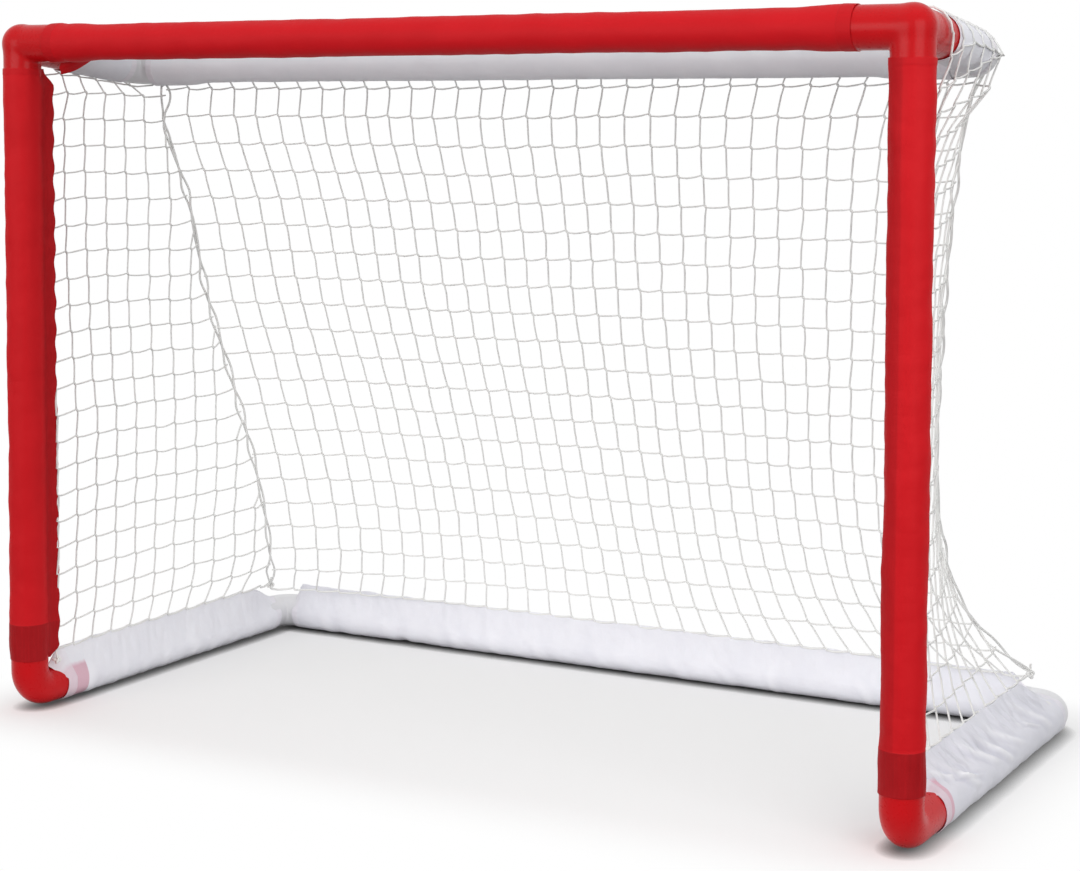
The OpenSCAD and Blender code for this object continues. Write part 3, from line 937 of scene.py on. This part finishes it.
# what the twine lies on and doesn't enter: ends of an axis, radius
bend = fitting["bend"]
bendCut = 0.29 * bend  # how far the middle of a bend stays off its corner, each way
bareFrom = postX - 0.12
topRadius = sleeve["wide"] + net["topClear"]
baseRadius = sleeve["wide"] + net["baseClear"]
bare = [Vector((sign * bareFrom, topY, topZ)) for sign in sides.values()]
solidRods = [(*bare, sleeve["slim"] + net["topClear"])]
for sign in sides.values():
    chain = [
        at(sign, frontY, barZ),
        at(sign, topY, topZ) - slope * bend,
        Vector((sign * (postX - bendCut), topY - bendCut, topZ)),
        Vector((sign * (postX - bend), topY, topZ)),
        Vector((sign * bareFrom, topY, topZ)),
    ]
    solidRods += [(a, b, topRadius) for a, b in zip(chain, chain[1:])]
solidRods += [(at(sign, frontY, baseZ), at(sign, rearY, baseZ), baseRadius) for sign in sides.values()]
solidRods.append((at(-1, rearY, baseZ), at(1, rearY, baseZ), baseRadius))


def clearOf(point):
    for a, b, radius in solidRods:
        run = b - a
        t = min(max((point - a).dot(run) / run.length_squared, 0), 1)
        foot = a + run * t
        away = point - foot
        if away.length < radius:
            point = foot + away.normalized() * radius
    return point


def pull(u):
    return u ** net["pullRise"] * (1 - u ** net["pullFall"])


def seamPoint(u, sign):
    # x is given as on the right
    u = min(max(u, 0), 1)
    over = (seamTop.x - postX) * (1 - u) ** net["wrapPower"]
    point = Vector((
        mix(postX, seamFoot.x, u) + over - net["seamIn"] * pull(u),
        mix(seamTop.y, seamFoot.y, u) - net["seamForward"] * pull(u),
        mix(seamTop.z, seamFoot.z, u),
    ))
    if sign < 0:
        point.x += leftSide["out"] * ease((u - 0.2) / 0.25) * (1 - u ** net["footPower"])
        point.x -= leftSide["tuck"] * (1 - ease((u - 0.03) / 0.08))
        point.y -= leftSide["short"] * u ** 5
    return point


def frontX(u, sign):
    x = mix(postEdge.x, sideEdge.x, u ** net["footPower"])
    if sign < 0:
        # the left side hangs inside its tube and bellies out below it
        return x + leftSide["belly"] * sin(pi * min(u / 0.6, 1) ** 0.55)
    over = (1 + cos(pi * u / net["drapeEnd"])) / 2 if u < net["drapeEnd"] else 0
    return x + (postX + net["overTop"] - postEdge.x) * over


def fanned(reach, u):
    # the columns spread a little where they near the floor
    return reach * (1 + net["fan"] * reach * ease((u - 0.8) / 0.2))


def sidePoint(reach, u, sign):
    # reach is the distance back from the post's fin
    seam = seamPoint(u, sign)
    depth = seam.y - postEdge.y
    s = min(reach / depth, 1)
    power = mix(net["wrapPower"], net["bow"], min(u / net["wrapEnd"], 1))
    y = mix(postEdge.y, seam.y, s)
    y += net["cornerGap"] * (1 - s) * max(0, 1 - u / 0.1)
    z = mix(mix(barZ, topZ, (y - frontY) / (topY - frontY)), sideEdge.z, u)
    return Vector((mix(frontX(u, sign), seam.x, s ** power), y, z))


def backPoint(t, u):
    # t runs from -1 at the left seam to 1 at the right one
    seams = [seamPoint(u, sign) for sign in (-1, 1)]
    share = (t + 1) / 2
    y = mix(mix(topY + net["overTop"], rearEdge.y, u), mix(seams[0].y, seams[1].y, share), abs(t) ** 4)
    return Vector((mix(0.002 - seams[0].x, seams[1].x - 0.002, share), y, mix(topZ, rearEdge.z, u)))


def topPoint(x, y):
    # y past the rear tube's axis is measured round the tube
    if y <= topY:
        t = (y - frontY - net["barFin"]) / (topY - frontY - net["barFin"])
        return Vector((x, y, mix(barZ, topZ + net["overTop"], ease(t))))
    turn = (y - topY) / net["overTop"]
    return Vector((x, topY + net["overTop"] * sin(turn), topZ + net["overTop"] * cos(turn)))


def overTube(y, turn):
    # a point on the side top tube: turn is 0 on its outer side, pi on its inner side
    z = mix(barZ, topZ, (y - frontY) / (topY - frontY))
    return Vector((postX + net["overTop"] * cos(turn), y, z + net["overTop"] * sin(turn)))


def jitter(key, size):
    draw = random.Random(str(key))
    return Vector([draw.uniform(-size, size) for _ in range(3)])


def strayed(point, waves, key, inner):
    # a crossing a little off its place; inner is 0 on the panel's edge and 1 two meshes in
    drift = Vector([wave(x, seed) for x, seed in waves])
    return point + (drift * net["wander"] + jitter(key, net["scatter"])) * inner


def strand(stops, shift, sag, key):
    # a cord through its knots: it leaves each knot on one side and reaches the next on the other
    points = []
    for k in range(len(stops) - 1):
        a, b = stops[k] + shift, stops[k + 1] - shift
        lean = jitter((key, k, "lean"), net["scatter"])
        points.append(a)
        points.append(mix(a, b, 0.34) + lean - up * sag)
        points.append(mix(a, b, 0.68) + lean * 0.6 - up * sag * 0.9)
        points.append(b)
    return [clearOf(p) for p in points]


def twineMesh(strands, knots):
    # strands are (points, radius); knots are (place, direction)
    curve = bpy.data.curves.new("twineRun", "CURVE")
    curve.dimensions = "3D"
    curve.bevel_depth = 1
    curve.bevel_resolution = 1
    curve.use_fill_caps = True
    for points, radius in strands:
        run = curve.splines.new("POLY")
        run.points.add(len(points) - 1)
        for k, point in enumerate(points):
            run.points[k].co = (*point, 1)
            run.points[k].radius = radius
    holder = addObject("twineRun", curve)
    mesh = evaluatedMesh(holder)
    bm = bmesh.new()
    bm.from_mesh(mesh)
    bpy.data.objects.remove(holder)
    bpy.data.curves.remove(curve)
    bpy.data.meshes.remove(mesh)
    # one knot, added again at every crossing
    tied = bmesh.new()
    longer = Matrix.Diagonal((0.85, 0.85, 1.25, 1))
    bmesh.ops.create_uvsphere(tied, u_segments=6, v_segments=4, radius=net["knot"], matrix=longer)
    knotMesh = bpy.data.meshes.new("knot")
    tied.to_mesh(knotMesh)
    tied.free()
    for place, direction in knots:
        turn = Matrix.Translation(place) @ direction.to_track_quat("Z", "Y").to_matrix().to_4x4()
        knotMesh.transform(turn)
        bm.from_mesh(knotMesh)
        knotMesh.transform(turn.inverted())
    bpy.data.meshes.remove(knotMesh)
    return bm


def finishNet(name, strands, knots=()):
    finishMesh(name, twineMesh(strands, knots), twine, name)


def mirrored(points, sign):
    return [Vector((sign * p.x, p.y, p.z)) for p in points]


# back
columns = net["columns"]
backU = [max(0, 1 - k * net["backStep"] / (topZ - rearEdge.z)) for k in range(net["backRows"] + 1)]
backU = [0] + sorted(backU)
grid = []
for i in range(columns + 1):
    column = []
    for j, u in enumerate(backU):
        waves = ((u * 4 + i * 0.13, 3), (u * 3 - i * 0.1, 4), (i * 0.22 + u * 2, 5))
        inner = min(i, columns - i, 2) / 2 * min(j, len(backU) - 1 - j, 2) / 2
        column.append(strayed(backPoint(2 * i / columns - 1, u), waves, ("back", i, j), inner))
    grid.append(column)
strands, knots = [], []
columnShift = Vector((net["jog"], 0, -net["rise"] * 0.5))
rowShift = Vector((0.0006, 0.0009, -net["rise"]))
backKnot = Vector((0.6, 0.1, -1)).normalized()
for i in range(1, columns):
    strands.append((strand(grid[i], columnShift, 0, ("backColumn", i)), net["twine"]))
for j in range(1, len(backU)):
    row = [column[j] for column in grid]
    size = net["border"] if j == len(backU) - 1 else rowTwine
    strands.append((strand(row, rowShift, net["sag"], ("backRow", j)), size))
    knots += [(place, backKnot) for place in row[1:-1]]
finishNet("back_net", strands, knots)
print("back net finished")

# sides, each with its cords led up over the top tube
rows = net["sideRows"]
sideCount = int((seamPoint(1, 1).y - postEdge.y) / net["sideMesh"])
sideKnot = Vector((0.1, 0.6, -1)).normalized()
topTurns = {
    "left": [-0.1 * pi, 0.35 * pi, 0.8 * pi],
    "right": [0, 0.42 * pi, 0.8 * pi],
}


def sideU(reach, k, end, side):
    # height of row k, counted up from the foot; rows climb towards the seam
    front = 1 - k * net["sideStep"] / (barZ - sideEdge.z)
    seam = 1 - k * net["backStep"] / (topZ - rearEdge.z)
    return max(mix(front, seam, min(reach / end, 1) * net["climb"][side]), 0)


def sideSpots(side, sign, ends):
    # where rows and columns cross, by column and row
    spots = {}
    for i in range(sideCount + 1):
        for k in range(rows + 1):
            u = sideU(i * net["sideMesh"], k, ends[k], side)
            reach = fanned(i * net["sideMesh"], u)
            if reach >= ends[k] - net["seamGap"]:
                continue
            point = sidePoint(reach, u, sign)
            if k == rows and sign < 0:
                point = overTube(point.y, leftSide["hang"])
            waves = ((k * 0.3 + i * 0.2, 6), (k * 0.25 - i * 0.2, 7), (i * 0.3 + k * 0.2, 8))
            point = strayed(point, waves, (side, i, k), min(i, 2) / 2 * min(k, 2) / 2)
            if i == 1:
                point.z -= net["nextDrop"]
            if i == 0:
                point.z -= net["laceDrop"] * min(k, 1)
            spots[i, k] = point
    return spots


def sideNet(side, sign):
    # gives back where its columns pass the top tube
    seamUs = [max(sideU(1, k, 1, side), net["seamStart"]) for k in range(rows + 1)]
    ends = [seamPoint(u, sign).y - postEdge.y for u in seamUs]
    spots = sideSpots(side, sign, ends)
    strands, knots = [], []
    shift = Vector((net["sideJog"] * sign, net["jog"], -net["rise"] * 0.5))
    for i in range(sideCount + 1):
        column = [spots[i, k] for k in range(rows, -1, -1) if (i, k) in spots]
        if len(column) < 2:
            continue
        if (i, rows) in spots:
            y = column[0].y
            column = [overTube(y, turn) for turn in reversed(topTurns[side])] + column
        else:
            # the cord leaves the seam in a small loop
            highest = len(column) - 1
            u = sideU(i * net["sideMesh"], highest + 0.7, ends[highest], side)
            column = [seamPoint(u, sign) + Vector((0, -0.002, 0))] + column
        size = net["border"] if i == 0 else net["twine"]
        strands.append((mirrored(strand(column, shift, 0, (side, "column", i)), sign), size))
    shift = Vector((0, 0.0006, -net["rise"] * (1 if sign < 0 else -1)))
    for k in range(rows + 1):
        row = [spots[i, k] for i in range(sideCount + 1) if (i, k) in spots]
        row.append(seamPoint(seamUs[k], sign))
        size = net["border"] if k == 0 else rowTwine
        strands.append((mirrored(strand(row, shift, net["sag"], (side, "row", k)), sign), size))
        knots += [(place, sideKnot) for place in mirrored(row[1:-1], sign)]
    passes = [spots[i, rows].y for i in range(sideCount + 1) if (i, rows) in spots]
    for turn in topTurns[side][-2:]:
        run = [overTube(y, turn) for y in passes + [topY - bend * 0.5]]
        run = strand(run, Vector((0, 0, 0.0006)), 0, (side, "wrap", turn))
        strands.append((mirrored(run, sign), net["twine"]))
    finishNet(side + "_side_net", strands, knots)
    return passes


for side, sign in sides.items():
    topYs = sideNet(side, sign)
print("side nets finished")

# top: its rows go on from the right side's columns, then over the rear tube
flatEnd = topY - 0.01
rowYs = [y for y in topYs if y < flatEnd] + [topY + 0.012, topY + net["overTop"] * pi / 2]
strands, knots = [], []
grid = []
innerX = postX - net["overTop"]
startY = frontY + net["barFin"]
columnShift = Vector((net["jog"], 0, 0))
rowShift = Vector((0, net["rise"] * 0.8, 0))
topKnot = Vector((1, 0.5, 0)).normalized()
for i in range(columns + 1):
    x = mix(-innerX, innerX, i / columns)
    column = [topPoint(x, startY)]
    for j, y in enumerate(rowYs):
        point = topPoint(x, y)
        if y < flatEnd:
            sag = net["topSag"] * sin(pi * (y - startY) / (topY - startY))
            point += jitter(("top", i, j), net["topScatter"]) - up * sag
        column.append(point)
    grid.append(column)
    strands.append((strand(column, columnShift, 0, ("topColumn", i)), net["twine"]))
for j in range(len(rowYs) + 1):
    row = [column[j] for column in grid]
    size = net["border"] if j == 0 else rowTwine
    strands.append((strand(row, rowShift, 0.0008, ("topRow", j)), size))
    knots += [(clearOf(place), topKnot) for place in row[1:-1]]
finishNet("top_net", strands, knots)
print("top net finished")

# seams: two cords that cross and part in small loops
seamRope = {"turns": 12, "apart": 0.0021, "loop": 0.0065, "radius": 0.0019, "steps": 150}
for side, sign in sides.items():
    strands = []
    for half in (0, pi):
        points = []
        for k in range(seamRope["steps"] + 1):
            u = k / seamRope["steps"]
            phase = pi * seamRope["turns"] * u
            loose = max(0, wave(u * 9 + sign, 31)) * 2 + max(0, u - 0.72) * 2.2
            apart = seamRope["apart"] + seamRope["loop"] * min(loose, 1) * abs(sin(phase))
            out, along = cos(phase + half) * apart, sin(phase + half) * apart
            point = seamPoint(u, sign) + Vector((out * 0.7, along * 0.3, 0))
            point += Vector((0, along, out * 0.4))
            points.append(clearOf(point))
        strands.append((mirrored(points, sign), seamRope["radius"]))
    finishNet(side + "_seam_cord", strands)
print("seams finished")

# tied knots at the feet of the posts and at the ends of the seams
tiedKnot = {"size": 0.0026, "radius": 0.0021, "steps": 48, "tail": 0.016, "tailSteps": 5, "drop": 0.0058}


def trefoil(place, turn):
    points = []
    for k in range(tiedKnot["steps"] + 1):
        t = 2 * pi * k / tiedKnot["steps"]
        point = Vector((sin(t) + 2 * sin(2 * t), cos(t) - 2 * cos(2 * t), -1.4 * sin(3 * t)))
        points.append(place + turn @ (point * tiedKnot["size"] * 0.75))
    return points


strands = []
for sign in sides.values():
    front = Vector((sign * (postEdge.x + 0.0035), postEdge.y - 0.0035, baseZ + 0.052 - tiedKnot["drop"]))
    seamEnd = seamPoint(1, sign)
    rear = Vector((sign * seamEnd.x, seamEnd.y + 0.002, seamEnd.z - tiedKnot["drop"]))
    for place, lean in ((front, 0.4), (rear, 1.3)):
        turn = Matrix.Rotation(lean, 3, "X") @ Matrix.Rotation(lean * 2, 3, "Z")
        strands.append((trefoil(place, turn), tiedKnot["radius"]))
        tail = []
        for k in range(tiedKnot["tailSteps"] + 1):
            high = Vector((0, 0, tiedKnot["tail"] * k / tiedKnot["tailSteps"]))
            tail.append(place + high + jitter((sign, lean, k), 0.0012))
        strands.append((tail, tiedKnot["radius"] * 0.85))
finishNet("net_knots", strands)
print("knots finished")


# stage, lamps and camera

stageLook = {
    "size": 26,
    "inside": (0.715, 0.36, 0),  # half width and depth that keep the full shadow
    "fade": 0.22,
    "albedo": "EDEDED",
    # the painted contact shadow: how far it reaches, its colour and how fast it clears
    "contact": 0.025,
    "paintedContactShadow": "606060",
    "contactPower": 1.6,
    "lift": 0.10,
    "drop": 0.0004,
    "skyLight": 0.74,
    "skyShown": 1,
}
pureWhite = (1, 1, 1, 1)


def everyView(tree):
    # 1 for what the camera sees, directly, mirrored or through something clear
    seen = addNode(tree, "ShaderNodeLightPath").outputs
    unclouded = maths(tree, "MAXIMUM", seen["Is Camera Ray"], seen["Is Glossy Ray"])
    return maths(tree, "MAXIMUM", unclouded, seen["Is Transmission Ray"])


def vectorMaths(tree, operation, *values):
    return addNode(tree, "ShaderNodeVectorMath", dict(enumerate(values)), operation=operation).outputs


def glow(tree, strength):
    inputs = {"Color": pureWhite, "Strength": strength}
    return addNode(tree, "ShaderNodeEmission", inputs).outputs["Emission"]


def studioFloor():
    # white paper: takes the soft shadow near the goal, has a painted contact shadow where the goal touches
    # it, and is plain white further out
    material, tree, shader, place = startMaterial("studioPaper")
    tree.nodes.remove(shader)
    # painted contact shadow: the paper is darker where the goal touches it, in its colour and in its lift
    touch = addNode(tree, "ShaderNodeAmbientOcclusion", {"Distance": stageLook["contact"]}, samples=8)
    clear = maths(tree, "POWER", touch.outputs["AO"], stageLook["contactPower"])
    paperTone = tones(tree, clear, stageLook["paintedContactShadow"], stageLook["albedo"])
    flat = addNode(tree, "ShaderNodeBsdfDiffuse", {"Color": paperTone}).outputs["BSDF"]
    anyView = everyView(tree)
    lift = maths(tree, "MULTIPLY", maths(tree, "MULTIPLY", anyView, stageLook["lift"]), clear)
    near = addNode(tree, "ShaderNodeAddShader", {0: flat, 1: glow(tree, lift)}).outputs["Shader"]
    # how far outside the goal's footprint
    apart = vectorMaths(tree, "ABSOLUTE", place)["Vector"]
    outside = vectorMaths(tree, "SUBTRACT", apart, stageLook["inside"])["Vector"]
    beyond = vectorMaths(tree, "MAXIMUM", outside, (0, 0, 0))["Vector"]
    away = vectorMaths(tree, "LENGTH", beyond)["Value"]
    span = {"Value": away, "From Min": 0, "From Max": stageLook["fade"]}
    fade = addNode(tree, "ShaderNodeMapRange", span, interpolation_type="SMOOTHSTEP").outputs["Result"]
    paper = addNode(tree, "ShaderNodeMixShader", {0: fade, 1: near, 2: glow(tree, anyView)})
    feed(tree, tree.nodes["Material Output"], {"Surface": paper.outputs["Shader"]})
    return material


bm = bmesh.new()
lowered = Matrix.Translation((0, 0, -stageLook["drop"]))
bmesh.ops.create_grid(bm, x_segments=8, y_segments=8, size=stageLook["size"] / 2, matrix=lowered)
floor = finishMesh("studio_floor", bm, studioFloor())

world = bpy.data.worlds.new("studio")
bpy.context.scene.world = world
world.use_nodes = True
skyTree = world.node_tree
level = addNode(skyTree, "ShaderNodeMapRange", {
    "Value": everyView(skyTree),
    "To Min": stageLook["skyLight"],
    "To Max": stageLook["skyShown"],
})
feed(skyTree, skyTree.nodes["Background"], {"Strength": level.outputs["Result"], "Color": pureWhite})

lamps = {
    "softboxLeft": {"at": (-1.04, -3.66, 1.15), "to": (0, -0.2, 0.7), "size": (3.0, 1.9), "watts": 50},
    "softboxRight": {"at": (2.25, -1.55, 1.1), "to": (0.4, 0, 0.7), "size": (1.5, 1.7), "watts": 22},
    "softboxTop": {"at": (0.2, -0.3, 3.6), "to": (0, 0, 0), "size": (3.6, 3.0), "watts": 8},
}
for name, spec in lamps.items():
    data = bpy.data.lights.new(name, "AREA")
    data.shape = "RECTANGLE"
    data.size, data.size_y = spec["size"]
    data.energy = spec["watts"]
    lamp = addObject(name, data)
    lamp.location = spec["at"]
    aim = Vector(spec["to"]) - Vector(spec["at"])
    lamp.rotation_euler = aim.to_track_quat("-Z", "Y").to_euler()

view = {
    "place": (1.7298, -3.1186, 0.9566),
    "turn": 0.5048,  # radians left of straight ahead
    "tilt": 0.0707,  # radians down
    "roll": 0.0038,
    "lens": 74.39,
    "sensor": 36,
    "shiftY": -0.1389,
}
cameraData = bpy.data.cameras.new("camera")
cameraData.lens = view["lens"]
cameraData.sensor_width = view["sensor"]
cameraData.shift_y = view["shiftY"]
cameraData.clip_end = 60
camera = addObject("camera", cameraData)
turn = Matrix.Rotation(view["turn"], 4, "Z")
tilt = Matrix.Rotation(pi / 2 - view["tilt"], 4, "X")
roll = Matrix.Rotation(view["roll"], 4, "Z")
camera.matrix_world = Matrix.Translation(view["place"]) @ turn @ tilt @ roll
bpy.context.scene.camera = camera
bpy.context.scene.view_settings.view_transform = "Standard"
print("stage finished")
